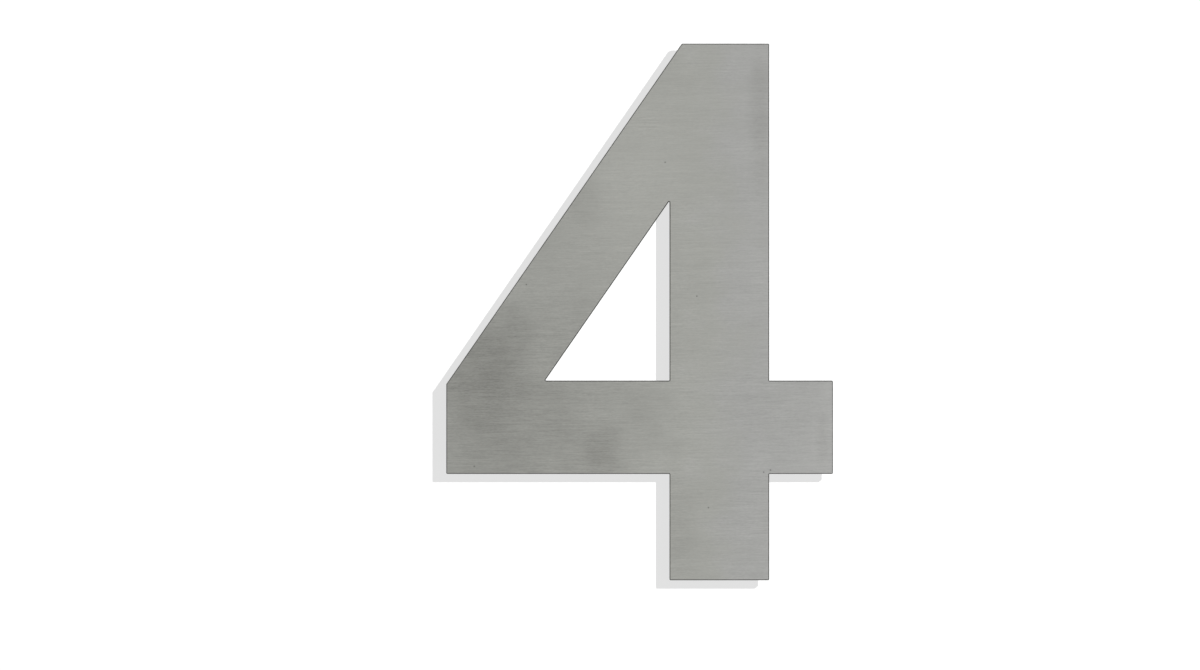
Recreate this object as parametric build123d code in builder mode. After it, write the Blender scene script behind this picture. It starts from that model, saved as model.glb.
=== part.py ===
from build123d import *
import os
from math import atan, cos

# Floating house number, the digit 4, cut from stainless plate and held off the wall by hidden studs
# All sizes are in millimetres
# X runs to the viewer's right, Z runs up, and the viewer looks along +Y at the brushed face
# The wall is the plane Y = 0, and the origin lies on it, midway between the two studs of the stem

# Outline of the digit
digit_height = 152.4
stem_width = 28.3
bar_height = 26.5
foot_height = 30.2  # stem below the bar
bar_reach_left = 63.4  # bar beyond the stem's left edge
bar_reach_right = 18.1  # bar beyond the stem's right edge
bar_end_height = 25.5  # upright end at the left of the bar, below the slope
top_flat_width = 24.8  # level top edge, between the slope and the stem's right edge
diagonal_width = 22.5  # measured square to the slope

# Sheet and its cut edges
plate_thickness = 3.0
corner_radius = 0.35  # outward corners, eased when the plate was deburred
kerf_radius = 0.15  # inward corners, left by the cutting beam
front_edge_break = 0.25
back_edge_break = 0.15

# Studs with rolled M4 threads at both ends
thread_diameter = 4.0
thread_pitch = 0.7
wall_thread_length = 28.0
stud_engagement = 2.0  # length that is screwed into the plate
stud_end_break = 0.4
stud_inset = 16.0  # from the end of a stroke to the stud's axis

# Tapped holes in the back of the plate, drilled blind with a flat floor
hole_floor_clearance = 0.3  # beyond the end of the stud
hole_mouth_clearance = 0.05  # round the thread, where the mouth is countersunk

# Spacer sleeves between the plate and the wall
spacer_length = 10.0
spacer_wall = 1.75
spacer_bore_clearance = 0.25  # round the thread
spacer_edge_break = 0.3
bore_edge_break = 0.2

# Metric thread form, in pitches: how far the pitch and root diameters lie below the outer one
pitch_diameter_drop = 0.6495
root_diameter_drop = 1.2269

# Sizes that follow from the thread: the plain shank of a rolled stud has the pitch diameter
shank_diameter = thread_diameter - pitch_diameter_drop * thread_pitch
root_diameter = thread_diameter - root_diameter_drop * thread_pitch
tap_drill_diameter = thread_diameter - thread_pitch
hole_mouth_break = (thread_diameter - tap_drill_diameter) / 2 + hole_mouth_clearance
tapped_depth = stud_engagement + hole_floor_clearance
spacer_bore_diameter = thread_diameter + 2 * spacer_bore_clearance
spacer_diameter = spacer_bore_diameter + 2 * spacer_wall

# Places in the plane of the digit, worked out from the sizes above
top = digit_height / 2
base = -digit_height / 2
stem_left = -stem_width / 2
stem_right = stem_width / 2
bar_bottom = base + foot_height
bar_top = bar_bottom + bar_height
bar_left = stem_left - bar_reach_left
bar_right = stem_right + bar_reach_right
slope_foot = bar_bottom + bar_end_height
slope_top = stem_right - top_flat_width

# The slope is how far the diagonal leans to the right for each millimetre that it rises
slope = (slope_top - bar_left) / (top - slope_foot)
diagonal_run = diagonal_width / cos(atan(slope))
counter_left = bar_left + diagonal_run + slope * (bar_top - slope_foot)
counter_peak = bar_top + (stem_left - counter_left) / slope

stud_places = {
    "top": (0, top - stud_inset),
    "foot": (0, base + stud_inset),
    "bar": (bar_left + stud_inset, (bar_bottom + bar_top) / 2),
}

# Planes that face the viewer
wall = Plane.XZ
plate_back = wall.offset(spacer_length)

# Corners of the digit's outline and of its counter
inward_corners = [
    (stem_right, bar_top),
    (stem_right, bar_bottom),
    (stem_left, bar_bottom),
]
counter = [
    (counter_left, bar_top),
    (stem_left, bar_top),
    (stem_left, counter_peak),
]
outline = [
    (slope_top, top),
    (stem_right, top),
    inward_corners[0],
    (bar_right, bar_top),
    (bar_right, bar_bottom),
    inward_corners[1],
    (stem_right, base),
    (stem_left, base),
    inward_corners[2],
    (bar_left, bar_bottom),
    (bar_left, slope_foot),
]
outward_corners = [corner for corner in outline if corner not in inward_corners]


def standing_at(corners):
    """A test of a sketch's vertices: does the vertex stand at one of these corners?"""
    near = 0.001
    return lambda vertex: any(
        abs(vertex.X - x) < near and abs(vertex.Y - y) < near for x, y in corners
    )


# Number plate: the digit with its open counter, one piece of sheet
with BuildPart() as number_plate:
    with BuildSketch(plate_back) as digit:
        with BuildLine() as digit_edge:
            Polyline(*outline, close=True)
        make_face()
        with BuildLine() as counter_edge:
            Polyline(*counter, close=True)
        make_face(mode=Mode.SUBTRACT)
        fillet(digit.vertices().filter_by(standing_at(inward_corners + counter)), kerf_radius)
        fillet(digit.vertices().filter_by(standing_at(outward_corners)), corner_radius)
    extrude(amount=plate_thickness)
    chamfer(number_plate.faces().sort_by(Axis.Y)[0].edges(), front_edge_break)
    chamfer(number_plate.faces().sort_by(Axis.Y)[-1].edges(), back_edge_break)
    with BuildSketch(plate_back):
        with Locations(*stud_places.values()):
            Circle(tap_drill_diameter / 2)
    extrude(amount=tapped_depth, mode=Mode.SUBTRACT)
    mouths = number_plate.edges().filter_by(GeomType.CIRCLE).group_by(Axis.Y)[-1]
    chamfer(mouths.filter_by(lambda edge: edge.radius == tap_drill_diameter / 2), hole_mouth_break)
number_plate.part.label = "number_plate"

# Studs: the short end screws into the plate, the shank crosses to the wall, the long end goes into it
with BuildPart() as mounting_studs:
    with BuildSketch(plate_back):
        with Locations(*stud_places.values()):
            Circle(root_diameter / 2)
    extrude(amount=stud_engagement)
    with BuildSketch(wall):
        with Locations(*stud_places.values()):
            Circle(shank_diameter / 2)
    extrude(amount=spacer_length)
    with BuildSketch(wall):
        with Locations(*stud_places.values()):
            Circle(thread_diameter / 2)
    extrude(amount=-wall_thread_length)
    chamfer(mounting_studs.edges().group_by(Axis.Y)[-1], stud_end_break)
    chamfer(mounting_studs.edges().group_by(Axis.Y)[0], stud_end_break)
mounting_studs.part.label = "mounting_studs"

os.makedirs("parts", exist_ok=True)
export_step(number_plate.part, "parts/number_plate.step")
export_step(mounting_studs.part, "parts/mounting_studs.step")

# Spacer sleeves, one round each shank, faced square at both ends
for place, centre in stud_places.items():
    with BuildPart() as spacer:
        with BuildSketch(wall):
            with Locations(centre):
                Circle(spacer_diameter / 2)
                Circle(spacer_bore_diameter / 2, mode=Mode.SUBTRACT)
        extrude(amount=spacer_length)
        rims = spacer.edges().filter_by(GeomType.CIRCLE).sort_by(SortBy.RADIUS)
        chamfer(rims[-2:], spacer_edge_break)
        chamfer(rims[:2], bore_edge_break)
    spacer.part.label = f"spacer_{place}"
    export_step(spacer.part, f"parts/spacer_{place}.step")
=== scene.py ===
import logging
import math
from dataclasses import dataclass
from enum import Enum
from typing import Any, Optional, Union

import bpy
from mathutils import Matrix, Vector


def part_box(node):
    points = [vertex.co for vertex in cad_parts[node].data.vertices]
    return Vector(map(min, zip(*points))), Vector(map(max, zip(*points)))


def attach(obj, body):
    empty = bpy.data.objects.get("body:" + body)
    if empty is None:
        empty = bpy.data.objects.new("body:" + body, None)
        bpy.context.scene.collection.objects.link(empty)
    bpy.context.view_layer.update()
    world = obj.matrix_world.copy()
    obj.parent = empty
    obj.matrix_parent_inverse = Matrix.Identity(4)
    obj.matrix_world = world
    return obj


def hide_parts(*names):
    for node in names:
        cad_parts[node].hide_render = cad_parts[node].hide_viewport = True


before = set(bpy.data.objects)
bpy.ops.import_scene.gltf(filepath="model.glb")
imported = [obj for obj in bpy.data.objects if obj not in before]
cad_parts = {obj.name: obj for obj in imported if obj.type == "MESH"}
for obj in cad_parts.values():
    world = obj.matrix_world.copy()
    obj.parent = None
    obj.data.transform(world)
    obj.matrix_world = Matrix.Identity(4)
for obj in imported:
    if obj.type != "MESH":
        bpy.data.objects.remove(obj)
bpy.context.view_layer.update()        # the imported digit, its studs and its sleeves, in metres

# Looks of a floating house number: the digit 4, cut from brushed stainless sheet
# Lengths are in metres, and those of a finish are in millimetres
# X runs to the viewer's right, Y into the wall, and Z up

MM = 0.001
CLOSE = 1e-6  # points nearer than this are one point
SPECK = 8e-6  # and so are these, where one body cuts another
HAIR = 1e-7  # a cut goes through the points that are nearer to it than this
FLAT = 1e-3  # faces that meet at less than this, in radians, are one face
SMOOTH = math.radians(25)  # and those that meet at less than this are shaded as one
UPRIGHT = (math.pi / 2, 0.0, 0.0)  # the turn after which what faced up faces the viewer
ENDLESS = 1e6  # in millimetres, the size of a pattern along an axis on which it stays the same
THROUGH = 40.0  # in millimetres, the depth of the grain, which hardly changes through the sheet
ROOT_BODY = "root"

Colour = tuple[float, float, float]
Lengths = tuple[float, float, float]
Span = tuple[float, float]
Socket = bpy.types.NodeSocket

log = logging.getLogger("house_number")


class Place(Enum):
    """Where a stud holds the digit, with the turn at which its thread happens to end."""

    TOP = ("top", 0.0)
    FOOT = ("foot", 1.9)
    BAR = ("bar", 4.1)

    @property
    def label(self) -> str:
        """The place's name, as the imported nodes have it."""
        return self.value[0]

    @property
    def turn(self) -> float:
        """How far the stud is turned about its axis, in radians."""
        return self.value[1]

    def axis(self) -> Vector:
        """The point where the axis of the stud and its sleeve meets the wall."""
        low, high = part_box(f"spacer_{self.label}")
        return Vector(((low.x + high.x) / 2, 0.0, (low.z + high.z) / 2))


# Shader maths


class Value:
    """A number that varies over a surface, on which Python's own operators work."""

    def __init__(self, tree: "ShaderTree", socket: Socket) -> None:
        """Wraps a socket.

        Args:
            tree: The tree that new nodes are added to.
            socket: The output that carries the number.
        """
        self.tree = tree
        self.socket = socket

    def _maths(self, operation: str, first: "Number", second: "Number") -> "Value":
        """Adds one Math node.

        Args:
            operation: The node's operation.
            first: The left-hand number.
            second: The right-hand number.

        Returns:
            The node's result.
        """
        node = self.tree.add("ShaderNodeMath", {"operation": operation}, {0: first, 1: second})
        return Value(self.tree, node.outputs[0])

    def __add__(self, other: "Number") -> "Value":
        """Sum."""
        return self._maths("ADD", self, other)

    def __radd__(self, other: "Number") -> "Value":
        """Sum, with the plain number on the left."""
        return self._maths("ADD", other, self)

    def __sub__(self, other: "Number") -> "Value":
        """Difference."""
        return self._maths("SUBTRACT", self, other)

    def __rsub__(self, other: "Number") -> "Value":
        """Difference, with the plain number on the left."""
        return self._maths("SUBTRACT", other, self)

    def __mul__(self, other: "Number") -> "Value":
        """Product."""
        return self._maths("MULTIPLY", self, other)

    def __rmul__(self, other: "Number") -> "Value":
        """Product, with the plain number on the left."""
        return self._maths("MULTIPLY", other, self)

    def __neg__(self) -> "Value":
        """The number with its sign changed."""
        return self._maths("MULTIPLY", self, -1.0)

    def __abs__(self) -> "Value":
        """The number without its sign."""
        return self._maths("ABSOLUTE", self, 0.0)

    def larger(self, other: "Number") -> "Value":
        """The larger of two numbers."""
        return self._maths("MAXIMUM", self, other)

    def rise(self, low: float, high: float) -> "Value":
        """A soft step.

        Args:
            low: Where the step starts.
            high: Where the step is complete.

        Returns:
            0 below low and 1 above high, with a smooth curve between.
        """
        sockets = {"Value": self, "From Min": low, "From Max": high}
        node = self.tree.add("ShaderNodeMapRange", {"interpolation_type": "SMOOTHSTEP"}, sockets)
        return Value(self.tree, node.outputs["Result"])


Number = Union[Value, float]


class ShaderTree:
    """A node tree with one method that adds any node."""

    def __init__(self, owner: Union[bpy.types.Material, bpy.types.World]) -> None:
        """Empties the owner's node tree.

        Args:
            owner: The material or the world.
        """
        owner.use_nodes = True
        self.tree = owner.node_tree
        self.tree.nodes.clear()

    def add(
        self,
        kind: str,
        settings: Optional[dict[str, Any]] = None,
        sockets: Optional[dict[Union[int, str], Any]] = None,
    ) -> bpy.types.Node:
        """Adds a node.

        Args:
            kind: The node's type.
            settings: Its own settings.
            sockets: The value or the link of each input, by number or name.

        Returns:
            The new node.
        """
        node = self.tree.nodes.new(kind)
        for name, setting in (settings or {}).items():
            setattr(node, name, setting)
        for key, given in (sockets or {}).items():
            given = given.socket if isinstance(given, Value) else given
            if isinstance(given, Socket):
                self.tree.links.new(given, node.inputs[key])
            else:
                node.inputs[key].default_value = given
        return node

    def parts(self, vector: Socket) -> tuple[Value, Value, Value]:
        """Takes a vector apart.

        Args:
            vector: The vector.

        Returns:
            Its X, Y and Z parts.
        """
        node = self.add("ShaderNodeSeparateXYZ", None, {0: vector})
        across, into, up = (Value(self, output) for output in node.outputs)
        return across, into, up


@dataclass(frozen=True)
class Streaks:
    """One layer of the grain that a belt leaves along a sheet, with its sizes in millimetres."""

    length: float
    width: float
    tone: float  # how strongly it lightens and darkens the sheet
    tilt: float = 0.0  # from level, in radians
    detail: float = 1.0  # how many finer layers it has


@dataclass(frozen=True)
class Mark:
    """A round or oval mark, with its centre and its half sizes in millimetres."""

    across: float
    up: float
    half_width: float
    half_height: float
    strength: float
    ragged: float = 0.8  # how far clouds bend its edge, in half widths
    fade: Span = (0.1, 1.0)  # where it starts and ends to fade, in half widths


class SteelTree(ShaderTree):
    """A steel finish: places and directions, patterns on them, and the shader that they feed."""

    def __init__(self, name: str) -> None:
        """Makes the material.

        Args:
            name: The material's name.
        """
        self.material = bpy.data.materials.new(name)
        super().__init__(self.material)
        self.coordinates = self.add("ShaderNodeTexCoord")

    def measured(self, size: Lengths, origin: Vector = Vector(), turn: float = 0.0) -> Socket:
        """The place on the piece, in steps of a pattern's size.

        Args:
            size: The pattern's size along each axis, in millimetres.
            origin: Where it is measured from.
            turn: How far the pattern is turned in the plane of the digit, in radians.

        Returns:
            The place as a vector.
        """
        sockets = {
            "Vector": self.coordinates.outputs["Object"],
            "Location": origin,
            "Rotation": (0.0, turn, 0.0),
            "Scale": [side * MM for side in size],
        }
        return self.add("ShaderNodeMapping", {"vector_type": "TEXTURE"}, sockets).outputs[0]

    def in_mm(self) -> tuple[Value, Value, Value]:
        """The place on the piece in millimetres: across, into the wall and up."""
        return self.parts(self.measured((1.0, 1.0, 1.0)))

    def facing(self) -> tuple[Value, Value, Value]:
        """The direction that the surface faces."""
        return self.parts(self.coordinates.outputs["Normal"])

    def reach(self, vector: Socket) -> Value:
        """How far a vector reaches."""
        node = self.add("ShaderNodeVectorMath", {"operation": "LENGTH"}, {0: vector})
        return Value(self, node.outputs["Value"])

    def radius(self, place: Place) -> Value:
        """How far the surface is from the axis at one place, in millimetres."""
        return self.reach(self.measured((1.0, ENDLESS, 1.0), place.axis()))

    def noise(self, vector: Socket, detail: float = 1.0) -> Value:
        """Soft noise.

        Args:
            vector: The place, in steps of the noise's size.
            detail: How many finer layers it has.

        Returns:
            A number round 0, mostly between -0.3 and 0.3.
        """
        sockets = {"Vector": vector, "Scale": 1.0, "Detail": detail}
        node = self.add("ShaderNodeTexNoise", {"noise_dimensions": "3D"}, sockets)
        return Value(self, node.outputs["Fac"]) - 0.5

    def pattern(self, size: Lengths, detail: float = 1.0) -> Value:
        """Soft noise round 0, with its size along each axis in millimetres."""
        return self.noise(self.measured(size), detail)

    def cloud(self, size: float) -> Value:
        """Soft patches round 0, of one size in millimetres."""
        return self.pattern((size, size, size), detail=2.0)

    def grain(self, layer: Streaks) -> Value:
        """The noise of one layer of the grain, round 0."""
        size = (layer.length, THROUGH, layer.width)
        return self.noise(self.measured(size, turn=layer.tilt), layer.detail)

    def mark(self, mark: Mark, cloud: Number = 0.0) -> Value:
        """A mark that fades towards its edge.

        Args:
            mark: Its place, its size and its strength.
            cloud: Soft patches, which bend its edge.

        Returns:
            Its strength at its centre and 0 outside it.
        """
        centre = Vector((mark.across, 0.0, mark.up)) * MM
        size = (mark.half_width, ENDLESS, mark.half_height)
        distance = self.reach(self.measured(size, centre)) + mark.ragged * cloud
        return mark.strength * (1.0 - distance.rise(*mark.fade))

    def blend(self, factor: Value, first: Any, second: Any) -> Socket:
        """Mixes two colours.

        Args:
            factor: 0 for the first and 1 for the second.
            first: A colour or a link to one.
            second: A colour or a link to one.

        Returns:
            The mixed colour.
        """
        pair = [(*each, 1.0) if isinstance(each, tuple) else each for each in (first, second)]
        node = self.add("ShaderNodeMix", {"data_type": "RGBA"}, {0: factor, 6: pair[0], 7: pair[1]})
        return node.outputs[2]

    def shade(self, colour: Any, factor: Value) -> Socket:
        """Makes a colour lighter or darker.

        Args:
            colour: The colour or a link to one.
            factor: What it is multiplied by.

        Returns:
            The new colour.
        """
        settings = {"operation": "SCALE"}
        return self.add("ShaderNodeVectorMath", settings, {0: colour, "Scale": factor}).outputs[0]

    def relief(self, height: Value, step: float) -> Socket:
        """Fine relief.

        Args:
            height: The relief, in steps.
            step: How high one step is, in millimetres.

        Returns:
            The surface's direction with the relief on it.
        """
        return self.add("ShaderNodeBump", None, {"Height": height, "Distance": step * MM}).outputs[0]

    def steel(
        self,
        colour: Socket,
        roughness: Value,
        normal: Socket,
        stretch: float = 0.0,
        stretch_turn: float = 0.0,
    ) -> bpy.types.Material:
        """Joins everything to the metal's shader.

        Args:
            colour: The base colour.
            roughness: The roughness.
            normal: The surface's direction.
            stretch: How far brushing stretches the gloss, from 0 to 1.
            stretch_turn: The direction of that stretch, in turns.

        Returns:
            The finished material.
        """
        sockets = {
            "Base Color": colour,
            "Metallic": 1.0,
            "Roughness": roughness,
            "Normal": normal,
            "Anisotropic": stretch,
            "Anisotropic Rotation": stretch_turn,
        }
        shader = self.add("ShaderNodeBsdfPrincipled", None, sockets)
        self.add("ShaderNodeOutputMaterial", None, {0: shader.outputs[0]})
        return self.material


# Finishes, with their lengths in millimetres


@dataclass(frozen=True)
class Grain:
    """The level grain of the sheet's face, with the stray scratches across it."""

    tilt: float = math.radians(-0.7)
    scratches: Streaks = Streaks(6.0, 0.25, 0.12, tilt=math.radians(2.0))
    scratched: Span = (0.22, 0.32)  # the peaks of the noise that are scratches
    strength: float = 0.95
    in_clouds: float = 1.4  # stronger in light clouds than in dark ones
    in_stains_and_shade: float = 2.2  # and in the patches of staining and painted shade
    lost_at_top: float = 0.28
    top: Span = (-10.0, 55.0)  # where the grain grows weaker up the sheet

    def layers(self) -> tuple[Streaks, ...]:
        """The layers of the grain, from the finest to the broadest."""
        return (
            Streaks(5.0, 0.05, 0.25, self.tilt),
            Streaks(0.9, 0.2, 0.28, self.tilt, detail=2.0),
            Streaks(5.0, 0.25, 0.26, self.tilt, detail=3.0),
            Streaks(22.0, 0.4, 0.14, self.tilt, detail=3.0),
            Streaks(60.0, 5.0, 0.08),
        )

    def tone(self, tree: SteelTree, cloud: Value, stain_and_shade: Value) -> Value:
        """Adds up the grain.

        Args:
            tree: The sheet's node tree.
            cloud: Soft patches, in which the grain is stronger or weaker.
            stain_and_shade: How much staining and painted shade darken the sheet.

        Returns:
            How much lighter or darker the grain makes the face, round 0.
        """
        tone = self.scratches.tone * tree.grain(self.scratches).rise(*self.scratched)
        for layer in self.layers():
            tone = tone + layer.tone * tree.grain(layer)
        _, _, up = tree.in_mm()
        weaker = self.lost_at_top * up.rise(*self.top)
        return (self.strength + self.in_clouds * cloud + self.in_stains_and_shade * stain_and_shade - weaker) * tone


@dataclass(frozen=True)
class Show:
    """How strongly one side of the sheet shows its clouds and its lines."""

    cloud_tone: float
    line_tone: float
    dull: float = 0.0  # how much rougher it is than the other sides
    cloud_dull: float = 0.0
    line_dull: float = 0.0
    relief: float = 1.0  # of the lines, in steps


@dataclass(frozen=True)
class BrushedSheet:
    """Stainless sheet: level grain on the face, mill finish on the back, and dark cut edges."""

    # warmer on the left; the cooler colour on the viewer's right is a painted tint of cooler light
    face_left: Colour = (0.412, 0.415, 0.388)
    face_right_painted_cool_light: Colour = (0.407, 0.408, 0.396)
    back: Colour = (0.46, 0.465, 0.46)
    cut: Colour = (0.36, 0.352, 0.335)
    # near-black chamfer round the face: painted dark reflection and shade
    broken_edge_painted_shade: Colour = (0.115, 0.115, 0.11)
    # the colour of the brownish staining, which the same patches also use as painted shade
    stain_and_shade: Colour = (0.13, 0.125, 0.112)
    square: Span = (0.85, 0.97)  # how squarely the face and the back look along Y
    along: Span = (0.2, 0.5)  # and how little the cut sides do
    face_shows: Show = Show(cloud_tone=0.15, line_tone=1.0, line_dull=0.4)
    back_shows: Show = Show(cloud_tone=0.25, line_tone=0.2, dull=0.03, cloud_dull=0.15, relief=0.5)
    cut_shows: Show = Show(cloud_tone=0.3, line_tone=0.5, dull=0.12, relief=2.0)
    change: Span = (-9.0, 10.0)  # where the face's own colour gives way to the painted tint of cooler light on the viewer's right
    change_ragged: float = 40.0  # how far clouds bend that line
    grain: Grain = Grain()
    cloud_size: float = 14.0
    cut_lines: Lengths = (0.13, 6.0, 0.13)
    roll_lines: Lengths = (0.3, THROUGH, 25.0)
    short_dashes: Lengths = (0.7, 2.0, 0.7)
    long_dashes: Lengths = (3.0, 2.0, 3.0)
    dash_tone: float = 0.9
    roughness: float = 0.37
    relief: float = 0.004  # the height of one step
    stretch: float = 0.55  # how far the brushing stretches the gloss
    stretch_turn: float = 0.25  # for level brushing
    pit_radius: float = 0.36
    pit_depth: float = 0.5
    pit_centres: tuple[Span, ...] = (
        (-15.4, 42.5),
        (-54.8, 7.8),
        (-6.4, 4.5),
        (-3.1, -55.6),
        (12.6, -45.5),
        (14.5, -44.9),
        (-69.6, -43.8),
    )
    # patches of staining, and of painted shade and painted dark reflection, such as the darker lower
    # left and the upright band at the top
    stains_and_painted_shade: tuple[Mark, ...] = (
        Mark(-56.0, -28.0, 46.0, 46.0, 0.18),
        Mark(-75.0, -15.0, 28.0, 30.0, 0.18),
        Mark(-34.0, -40.0, 9.0, 13.0, 0.10),
        Mark(-38.0, -44.0, 26.0, 9.0, 0.09),
        Mark(-39.0, 31.0, 8.0, 10.0, 0.10),
        Mark(11.5, 54.0, 5.0, 32.0, 0.14),
        Mark(29.5, -37.0, 3.0, 11.0, 0.10),
        Mark(17.0, -28.0, 22.0, 16.0, 0.07),
        Mark(-12.0, -60.0, 7.0, 28.0, 0.07),
    )
    # a lighter patch on the upper diagonal: painted highlight, where more light would fall
    painted_highlight: Mark = Mark(-27.0, 42.0, 24.0, 40.0, 0.07, ragged=1.2)

    def material(self) -> bpy.types.Material:
        """Makes the sheet's material.

        Returns:
            The material.
        """
        tree = SteelTree("brushed_sheet")
        _, into, _ = tree.facing()
        face = (-into).rise(*self.square)
        back = into.rise(*self.square)
        cut = 1.0 - abs(into).rise(*self.along)
        rim = 1.0 - face.larger(back).larger(cut)
        cloud = tree.cloud(self.cloud_size)
        # staining and painted shade, in one mask
        stain_and_shade = self.stained_and_shaded(tree, cloud)
        streaks = self.grain.tone(tree, cloud, stain_and_shade)
        cut_lines = tree.pattern(self.cut_lines)
        roll_lines = tree.pattern(self.roll_lines)
        dashes = tree.pattern(self.short_dashes, detail=3.0) + tree.pattern(self.long_dashes)

        across, _, _ = tree.in_mm()
        # painted tint of cooler light towards the viewer's right
        right = (across + self.change_ragged * cloud).rise(*self.change)
        colour = tree.blend(right, self.face_left, self.face_right_painted_cool_light)
        colour = tree.blend(stain_and_shade, colour, self.stain_and_shade)
        # off the face, the chamfers take the painted dark edge colour
        colour = tree.blend(face, self.broken_edge_painted_shade, colour)
        colour = tree.blend(back, colour, self.back)
        colour = tree.blend(cut, colour, self.cut)

        # the painted highlight lightens the face, and the pits darken it
        marks = tree.mark(self.painted_highlight, cloud) - self.pits(tree)
        tone = 1.0 + face * marks + rim * self.dash_tone * dashes
        roughness: Number = self.roughness
        height: Number = 0.0
        sides = (
            (face, self.face_shows, streaks),
            (back, self.back_shows, roll_lines),
            (cut, self.cut_shows, cut_lines),
        )
        for side, shows, lines in sides:
            tone = tone + side * (shows.cloud_tone * cloud + shows.line_tone * lines)
            dull = shows.dull + shows.cloud_dull * cloud + shows.line_dull * lines
            roughness = roughness + side * dull
            height = height + side * shows.relief * lines
        colour = tree.shade(colour, tone)
        normal = tree.relief(height, self.relief)
        return tree.steel(colour, roughness, normal, self.stretch, self.stretch_turn)

    def pits(self, tree: SteelTree) -> Value:
        """Small dark pits in the face.

        Args:
            tree: The sheet's node tree.

        Returns:
            How much darker the pits make the face.
        """
        pits: Number = 0.0
        for across, up in self.pit_centres:
            pit = Mark(across, up, self.pit_radius, self.pit_radius, self.pit_depth)
            pits = tree.mark(pit).larger(pits)
        return pits

    def stained_and_shaded(self, tree: SteelTree, cloud: Value) -> Value:
        """Soft brownish patches of staining where the sheet is dull, and patches of painted shade.

        Args:
            tree: The sheet's node tree.
            cloud: Other soft patches, which bend the edges of these.

        Returns:
            How much of the colour of the staining and painted shade shows.
        """
        stained_and_shaded: Number = 0.0
        for stain_and_shade in self.stains_and_painted_shade:
            stained_and_shaded = tree.mark(stain_and_shade, cloud) + stained_and_shaded
        return stained_and_shaded


@dataclass(frozen=True)
class TurnedSleeve:
    """Steel turned on a lathe, with fine rings about one axis."""

    steel: Colour = (0.46, 0.458, 0.45)
    feed: float = 0.11  # between one ring and the next
    bore: Span = (2.3, 2.6)  # the radii between which the bore gives way to the ends
    bore_shade: float = 0.35
    ring_tone: float = 0.5
    ring_dull: float = 0.3
    cloud_size: float = 4.0
    cloud_tone: float = 0.25
    cloud_dull: float = 0.1
    roughness: float = 0.30
    relief: float = 0.006  # the height of a ring

    def material(self, place: Place) -> bpy.types.Material:
        """Makes the material of the sleeve at one place.

        Args:
            place: The place, whose axis the rings go round.

        Returns:
            The material.
        """
        tree = SteelTree(f"turned_sleeve_{place.label}")
        radius = tree.radius(place)
        _, along, _ = tree.in_mm()
        steps = {0: radius * (1.0 / self.feed), 1: along * (1.0 / self.feed)}
        rings = tree.noise(tree.add("ShaderNodeCombineXYZ", None, steps).outputs[0])
        cloud = tree.cloud(self.cloud_size)
        bore = 1.0 - radius.rise(*self.bore)
        tone = 1.0 + self.ring_tone * rings + self.cloud_tone * cloud - self.bore_shade * bore
        colour = tree.shade(self.steel, tone)
        roughness = self.roughness + self.ring_dull * rings + self.cloud_dull * cloud
        return tree.steel(colour, roughness, tree.relief(rings, self.relief))


@dataclass(frozen=True)
class RolledStud:
    """Stainless stud: bright rolled crests, roots darkened by oil and by painted shade, and a drawn
    shank.
    """

    steel: Colour = (0.42, 0.418, 0.405)
    flank: Span = (1.6, 1.97)  # the radii between which the root, darkened by oil and painted shade, gives way to the crest
    root_oil_and_shade_tone: float = 0.40
    crest_tone: float = 1.08
    crest_gloss: float = 0.12
    drawn_lines: Lengths = (0.12, 6.0, 0.12)
    line_tone: float = 0.35
    cloud_size: float = 2.5
    cloud_tone: float = 0.3
    cloud_dull: float = 0.2
    roughness: float = 0.40
    relief: float = 0.004  # the height of a drawn line

    def material(self, place: Place) -> bpy.types.Material:
        """Makes the material of the stud at one place.

        Args:
            place: The place, whose axis the stud stands on.

        Returns:
            The material.
        """
        tree = SteelTree(f"rolled_stud_{place.label}")
        crest = tree.radius(place).rise(*self.flank)
        drawn = tree.pattern(self.drawn_lines)
        cloud = tree.cloud(self.cloud_size)
        # the roots are darker with oil and with painted shade in the groove
        tone = self.root_oil_and_shade_tone + (self.crest_tone - self.root_oil_and_shade_tone) * crest
        colour = tree.shade(self.steel, tone + self.line_tone * drawn + self.cloud_tone * cloud)
        roughness = self.roughness - self.crest_gloss * crest + self.cloud_dull * cloud
        return tree.steel(colour, roughness, tree.relief(drawn, self.relief))


# Modelling


def take_up(piece: bpy.types.Object) -> None:
    """Selects one object and nothing else.

    Args:
        piece: The object.
    """
    bpy.ops.object.select_all(action="DESELECT")
    piece.select_set(True)
    bpy.context.view_layer.objects.active = piece


class Join(Enum):
    """How a body is joined to another."""

    COMMON = "INTERSECT"
    BOTH = "UNION"

    def to(self, body: bpy.types.Object, tool: bpy.types.Object) -> None:
        """Joins a tool body to a body, merges the points that meet, and throws the tool away.

        Args:
            body: The body that is kept.
            tool: The body that shapes it.
        """
        take_up(body)
        modifier = body.modifiers.new(self.name.lower(), "BOOLEAN")
        modifier.operation = self.value
        modifier.object = tool
        bpy.ops.object.modifier_apply(modifier=modifier.name)
        bpy.data.meshes.remove(tool.data)
        bpy.ops.object.mode_set(mode="EDIT")
        bpy.ops.mesh.select_all(action="SELECT")
        bpy.ops.mesh.remove_doubles(threshold=SPECK)
        bpy.ops.mesh.dissolve_degenerate(threshold=CLOSE)
        bpy.ops.object.mode_set(mode="OBJECT")


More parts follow.
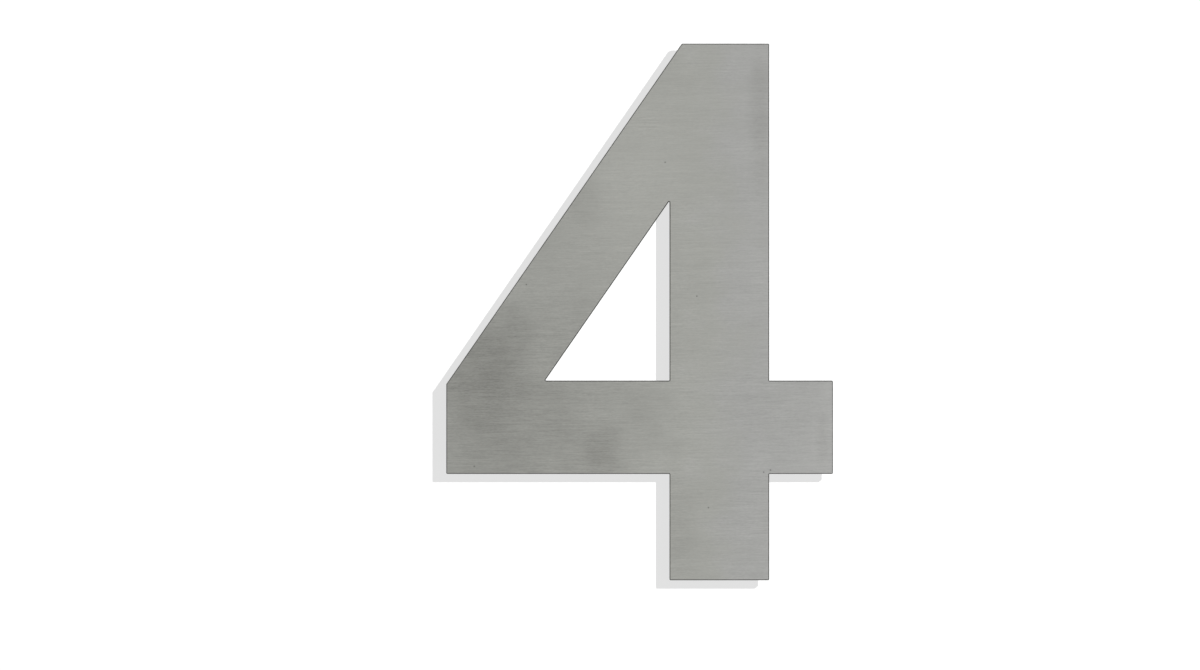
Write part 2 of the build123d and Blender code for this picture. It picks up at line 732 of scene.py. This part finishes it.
def turned(name: str, stations: list[Span], sides: int = 64) -> bpy.types.Object:
    """Turns a closed round body about the Y axis.

    Args:
        name: The body's name.
        stations: Places along Y, in order, and the radius at each.
        sides: How many sides the round has.

    Returns:
        The body.
    """
    here, girth = stations[0]
    bpy.ops.object.select_all(action="DESELECT")
    round_end = {"vertices": sides, "radius": girth, "fill_type": "NGON"}
    bpy.ops.mesh.primitive_circle_add(**round_end, rotation=UPRIGHT)
    body = bpy.context.object
    body.name = name
    bpy.ops.object.transform_apply(location=True, rotation=True, scale=True)
    bpy.ops.object.mode_set(mode="EDIT")
    bpy.ops.mesh.select_all(action="SELECT")
    bpy.ops.transform.translate(value=(0, here, 0))
    for there, next_girth in stations[1:]:
        bpy.ops.mesh.extrude_region_move(TRANSFORM_OT_translate={"value": (0, there - here, 0)})
        wider = next_girth / girth
        bpy.ops.transform.resize(value=(wider, 1, wider), center_override=(0, there, 0))
        here, girth = there, next_girth
    bpy.ops.mesh.select_all(action="SELECT")
    bpy.ops.mesh.normals_make_consistent(inside=False)
    bpy.ops.object.mode_set(mode="OBJECT")
    return body


class NumberPlate:
    """The digit itself, one piece of sheet."""

    def build(self) -> list[bpy.types.Object]:
        """Dresses the plate.

        Returns:
            The plate.
        """
        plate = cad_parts["number_plate"]
        plate.material_slots[0].material = BrushedSheet().material()
        return [plate]


class SpacerSleeves:
    """The sleeves that hold the plate off the wall."""

    def build(self) -> list[bpy.types.Object]:
        """Dresses the sleeves.

        Returns:
            The sleeves.
        """
        sleeves = []
        for place in Place:
            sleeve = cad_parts[f"spacer_{place.label}"]
            sleeve.material_slots[0].material = TurnedSleeve().material(place)
            sleeves.append(sleeve)
        return sleeves


@dataclass
class MountingStuds:
    """Studs with a rolled M4 thread in the wall, and a plain shank in the sleeve."""

    pitch: float = 0.7 * MM
    crest_radius: float = 2.0 * MM
    shank_radius: float = 1.773 * MM
    root_radius: float = 1.571 * MM
    core_radius: float = 1.5 * MM  # inside the root, where the shank ends in the thread
    plate_end: float = -12.0 * MM
    plate_back: float = -10.0 * MM
    thread_start: float = -0.1 * MM  # inside the shank
    shank_taper: float = 0.65 * MM  # where the shank starts to narrow, inside the thread
    run_out: float = 1.3 * MM  # where the thread reaches its full height
    wall_end: float = 28.0 * MM
    end_break: float = 0.4 * MM
    clearance: float = 0.05 * MM  # between the crests and the body that cuts the thread to length
    spare: float = 0.5 * MM  # thread beyond the ends, which is cut away
    crest_width: float = 0.0875 * MM
    flank_width: float = 0.248 * MM  # along the axis
    rounding: float = 0.034 * MM
    steps: int = 48  # round one turn

    def build(self) -> list[bpy.types.Object]:
        """Models one stud and sets a copy at each place.

        Returns:
            The studs.
        """
        model = self.model()
        studs = [self.copy_to(model, place) for place in Place]
        bpy.data.meshes.remove(model.data)
        return studs

    def model(self) -> bpy.types.Object:
        """Models a stud on the Y axis: a thread that is cut to length, with the shank run into it.

        Returns:
            The stud.
        """
        stud = self.thread()
        clear = self.crest_radius + self.clearance
        end_radius = self.crest_radius - self.end_break
        envelope = [
            (self.thread_start, self.core_radius),
            (self.run_out, clear),
            (self.wall_end - (clear - end_radius), clear),
            (self.wall_end, end_radius),
        ]
        shank = [
            (self.plate_end, self.root_radius - self.end_break),
            (self.plate_end + self.end_break, self.root_radius),
            (self.plate_back, self.root_radius),
            (self.plate_back, self.shank_radius),
            (self.shank_taper, self.shank_radius),
            (self.run_out, self.core_radius),
        ]
        Join.COMMON.to(stud, turned("envelope", envelope))
        Join.BOTH.to(stud, turned("shank", shank))
        bpy.ops.object.shade_smooth_by_angle(angle=SMOOTH)
        return stud

    def thread(self) -> bpy.types.Object:
        """Models a closed length of thread, longer than the stud needs.

        Returns:
            The thread, with its ends cut square.
        """
        start = -self.spare - 2 * self.pitch
        turns = math.ceil((self.wall_end + self.spare - start) / self.pitch) + 1
        depth = self.crest_radius - self.root_radius
        half_root = (self.pitch - self.crest_width - 2 * self.flank_width) / 2
        tooth = [
            (0, half_root),
            (depth, self.flank_width),
            (0, self.crest_width),
            (-depth, self.flank_width),
            (0, half_root),
        ]
        bpy.ops.object.select_all(action="DESELECT")
        bpy.ops.mesh.primitive_plane_add(size=self.pitch)
        thread = bpy.context.object
        thread.name = "stud"
        bpy.ops.object.mode_set(mode="EDIT")
        bpy.ops.mesh.select_all(action="SELECT")
        bpy.ops.mesh.merge(type="CENTER")
        bpy.ops.transform.translate(value=(self.root_radius, start, 0))
        for outward, along in tooth:
            bpy.ops.mesh.extrude_vertices_move(TRANSFORM_OT_translate={"value": (outward, along, 0)})
        self.round_corners(thread, start)
        bpy.ops.object.mode_set(mode="OBJECT")

        screw = thread.modifiers.new("turns", "SCREW")
        screw.axis = "Y"
        screw.screw_offset = self.pitch
        screw.iterations = turns
        screw.steps = self.steps
        screw.render_steps = self.steps
        bpy.ops.object.modifier_apply(modifier=screw.name)

        bpy.ops.object.mode_set(mode="EDIT")
        for level, kept in ((-self.spare, 1), (self.wall_end + self.spare, -1)):
            bpy.ops.mesh.select_all(action="SELECT")
            bpy.ops.mesh.remove_doubles(threshold=CLOSE)
            plane = {"plane_co": (0, level, 0), "plane_no": (0, kept, 0)}
            bpy.ops.mesh.bisect(**plane, use_fill=True, clear_inner=True, threshold=HAIR)
        bpy.ops.mesh.select_all(action="SELECT")
        bpy.ops.mesh.normals_make_consistent(inside=False)
        bpy.ops.mesh.dissolve_limited(angle_limit=FLAT)
        bpy.ops.object.mode_set(mode="OBJECT")
        return thread

    def round_corners(self, thread: bpy.types.Object, start: float) -> None:
        """Rounds the corners of the tooth, between its two ends.

        Args:
            thread: The object whose edges are the tooth, in edit mode.
            start: Where the tooth starts along Y.
        """
        bpy.ops.object.mode_set(mode="OBJECT")
        for vertex in thread.data.vertices:
            vertex.select = start + CLOSE < vertex.co.y < start + self.pitch - CLOSE
        bpy.ops.object.mode_set(mode="EDIT")
        bpy.ops.mesh.bevel(affect="VERTICES", offset=self.rounding, segments=1)

    def copy_to(self, model: bpy.types.Object, place: Place) -> bpy.types.Object:
        """Copies the model to one place.

        Args:
            model: The stud on the Y axis.
            place: Where the copy goes.

        Returns:
            The copy.
        """
        take_up(model)
        bpy.ops.object.duplicate(linked=False)
        stud = bpy.context.object
        stud.name = f"stud_{place.label}"
        bpy.ops.transform.rotate(value=place.turn, orient_axis="Y", center_override=(0, 0, 0))
        bpy.ops.transform.translate(value=place.axis())
        bpy.ops.object.transform_apply(location=True, rotation=True, scale=True)
        stud.data.materials.append(RolledStud().material(place))
        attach(stud, ROOT_BODY)
        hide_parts("mounting_studs")
        return stud


# Setting


def put_in(name: str, data: Union[bpy.types.Camera, bpy.types.Light]) -> bpy.types.Object:
    """Puts a camera or a lamp in the scene.

    Args:
        name: Its name.
        data: Its settings.

    Returns:
        The object.
    """
    thing = bpy.data.objects.new(name, data)
    bpy.context.scene.collection.objects.link(thing)
    return thing


@dataclass
class PhotoCamera:
    """A long lens, square to the wall, that frames the digit as the photo does."""

    photo_width: float = 1200.0  # in pixels, and so are the four below
    photo_height: float = 670.0
    digit_left: float = 446.27
    digit_top: float = 43.6
    digit_base: float = 580.3
    distance: float = 2.0  # from the digit's face
    clip_end: float = 20.0
    sensor_mm: float = 36.0

    def build(self) -> None:
        """Makes the camera."""
        low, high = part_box("number_plate")
        pixel = (high.z - low.z) / (self.digit_base - self.digit_top)
        across = low.x + (self.photo_width / 2 - self.digit_left) * pixel
        up = low.z + (self.digit_base - self.photo_height / 2) * pixel
        data = bpy.data.cameras.new("photo_camera")
        data.sensor_width = self.sensor_mm
        data.lens = self.sensor_mm * self.distance / (self.photo_width * pixel)
        data.clip_end = self.clip_end
        camera = put_in("photo_camera", data)
        camera.location = (across, low.y - self.distance, up)
        camera.rotation_euler = UPRIGHT
        bpy.context.scene.camera = camera


@dataclass
class WhiteWall:
    """The wall, with the hard shadow that the digit throws on it from a lamp of the wall's own."""

    width: float = 3.0
    lamp_place: Lengths = (0.518, -1.8, 0.325)
    lamp_radius: float = 3 * MM
    lit: float = 1.07  # the wall's brightness in the lamp's light, where 1 is white
    shaded: float = 0.723  # and in the digit's shadow
    albedo: float = 0.05

    def build(self) -> None:
        """Makes the wall, and the lamp that lights nothing else."""
        bpy.ops.object.select_all(action="DESELECT")
        bpy.ops.mesh.primitive_plane_add(size=self.width, rotation=UPRIGHT)
        wall = bpy.context.object
        wall.name = "wall"
        bpy.ops.object.transform_apply(location=True, rotation=True, scale=True)
        wall.data.materials.append(self.paint())
        wall.visible_shadow = False

        lit_by_lamp = bpy.data.collections.new("lit_by_wall_lamp")
        lit_by_lamp.objects.link(wall)
        self.lamp().light_linking.receiver_collection = lit_by_lamp

    def lamp(self) -> bpy.types.Object:
        """Makes a small lamp that is strong enough to lift the paint from shaded to lit.

        Returns:
            The lamp.
        """
        light = bpy.data.lights.new("wall_lamp", "POINT")
        place = Vector(self.lamp_place)
        slant = -place.y / place.length
        sphere = 4 * math.pi * place.length ** 2
        light.energy = (self.lit - self.shaded) * math.pi / self.albedo * sphere / slant
        light.shadow_soft_size = self.lamp_radius
        lamp = put_in("wall_lamp", light)
        lamp.location = place
        return lamp

    def paint(self) -> bpy.types.Material:
        """Makes paint that is white in the lamp's light, and clear from behind, to show the fixings.

        Returns:
            The material.
        """
        material = bpy.data.materials.new("white_wall")
        tree = ShaderTree(material)
        glow = tree.add("ShaderNodeEmission", None, {"Strength": self.shaded})
        matt = tree.add("ShaderNodeBsdfDiffuse", None, {"Color": (*[self.albedo] * 3, 1.0)})
        front = tree.add("ShaderNodeAddShader", None, {0: glow.outputs[0], 1: matt.outputs[0]})
        clear = tree.add("ShaderNodeBsdfTransparent")
        behind = tree.add("ShaderNodeNewGeometry").outputs["Backfacing"]
        sides = {0: behind, 1: front.outputs[0], 2: clear.outputs[0]}
        shown = tree.add("ShaderNodeMixShader", None, sides)
        tree.add("ShaderNodeOutputMaterial", None, {0: shown.outputs[0]})
        return material


@dataclass(frozen=True)
class SoftPanel:
    """A square soft lamp that points at the digit."""

    name: str
    place: Lengths
    side: float
    watts: float

    def build(self) -> None:
        """Makes the lamp."""
        light = bpy.data.lights.new(self.name, "AREA")
        light.size = self.side
        light.energy = self.watts
        place = Vector(self.place)
        lamp = put_in(self.name, light)
        lamp.location = place
        lamp.rotation_euler = (-place).to_track_quat("-Z", "Y").to_euler()


@dataclass
class StudioLight:
    """Plain soft light: a pale room that is darker along the wall, and two soft panels."""

    front: float = 0.70  # the room's brightness behind the viewer, where 1 is white
    back: float = 0.90  # and behind the wall
    along_wall: float = 0.55
    lean: Span = (0.15, 0.7)  # how far out of the wall's plane a direction leans where that changes
    rise_to_top: float = 0.08
    panels: tuple[SoftPanel, ...] = (
        SoftPanel("front_panel", (0.42, -0.75, 0.0), 0.8, 1.72),
        SoftPanel("rear_panel", (0.5, 0.7, 0.5), 1.2, 3.6),
    )

    def build(self) -> None:
        """Makes the room and the panels."""
        world = bpy.data.worlds.new("studio")
        bpy.context.scene.world = world
        tree = ShaderTree(world)
        _, into, up = tree.parts(tree.add("ShaderNodeTexCoord").outputs["Generated"])
        front = (self.front - self.along_wall) * (-into).rise(*self.lean)
        back = (self.back - self.along_wall) * into.rise(*self.lean)
        light = self.along_wall + front + back + self.rise_to_top * up
        background = tree.add("ShaderNodeBackground", None, {"Color": (1, 1, 1, 1), "Strength": light})
        tree.add("ShaderNodeOutputWorld", None, {0: background.outputs[0]})
        for panel in self.panels:
            panel.build()


def main() -> None:
    """Builds the house number, its wall, its light and its camera."""
    logging.basicConfig(level=logging.INFO, format="%(name)s: %(message)s")
    bpy.context.scene.view_settings.view_transform = "Standard"
    PhotoCamera().build()
    for sub_assembly in (NumberPlate(), SpacerSleeves(), MountingStuds()):
        for piece in sub_assembly.build():
            log.info("%s: %d faces", piece.name, len(piece.data.polygons))
    WhiteWall().build()
    StudioLight().build()


if __name__ == "__main__":
    main()
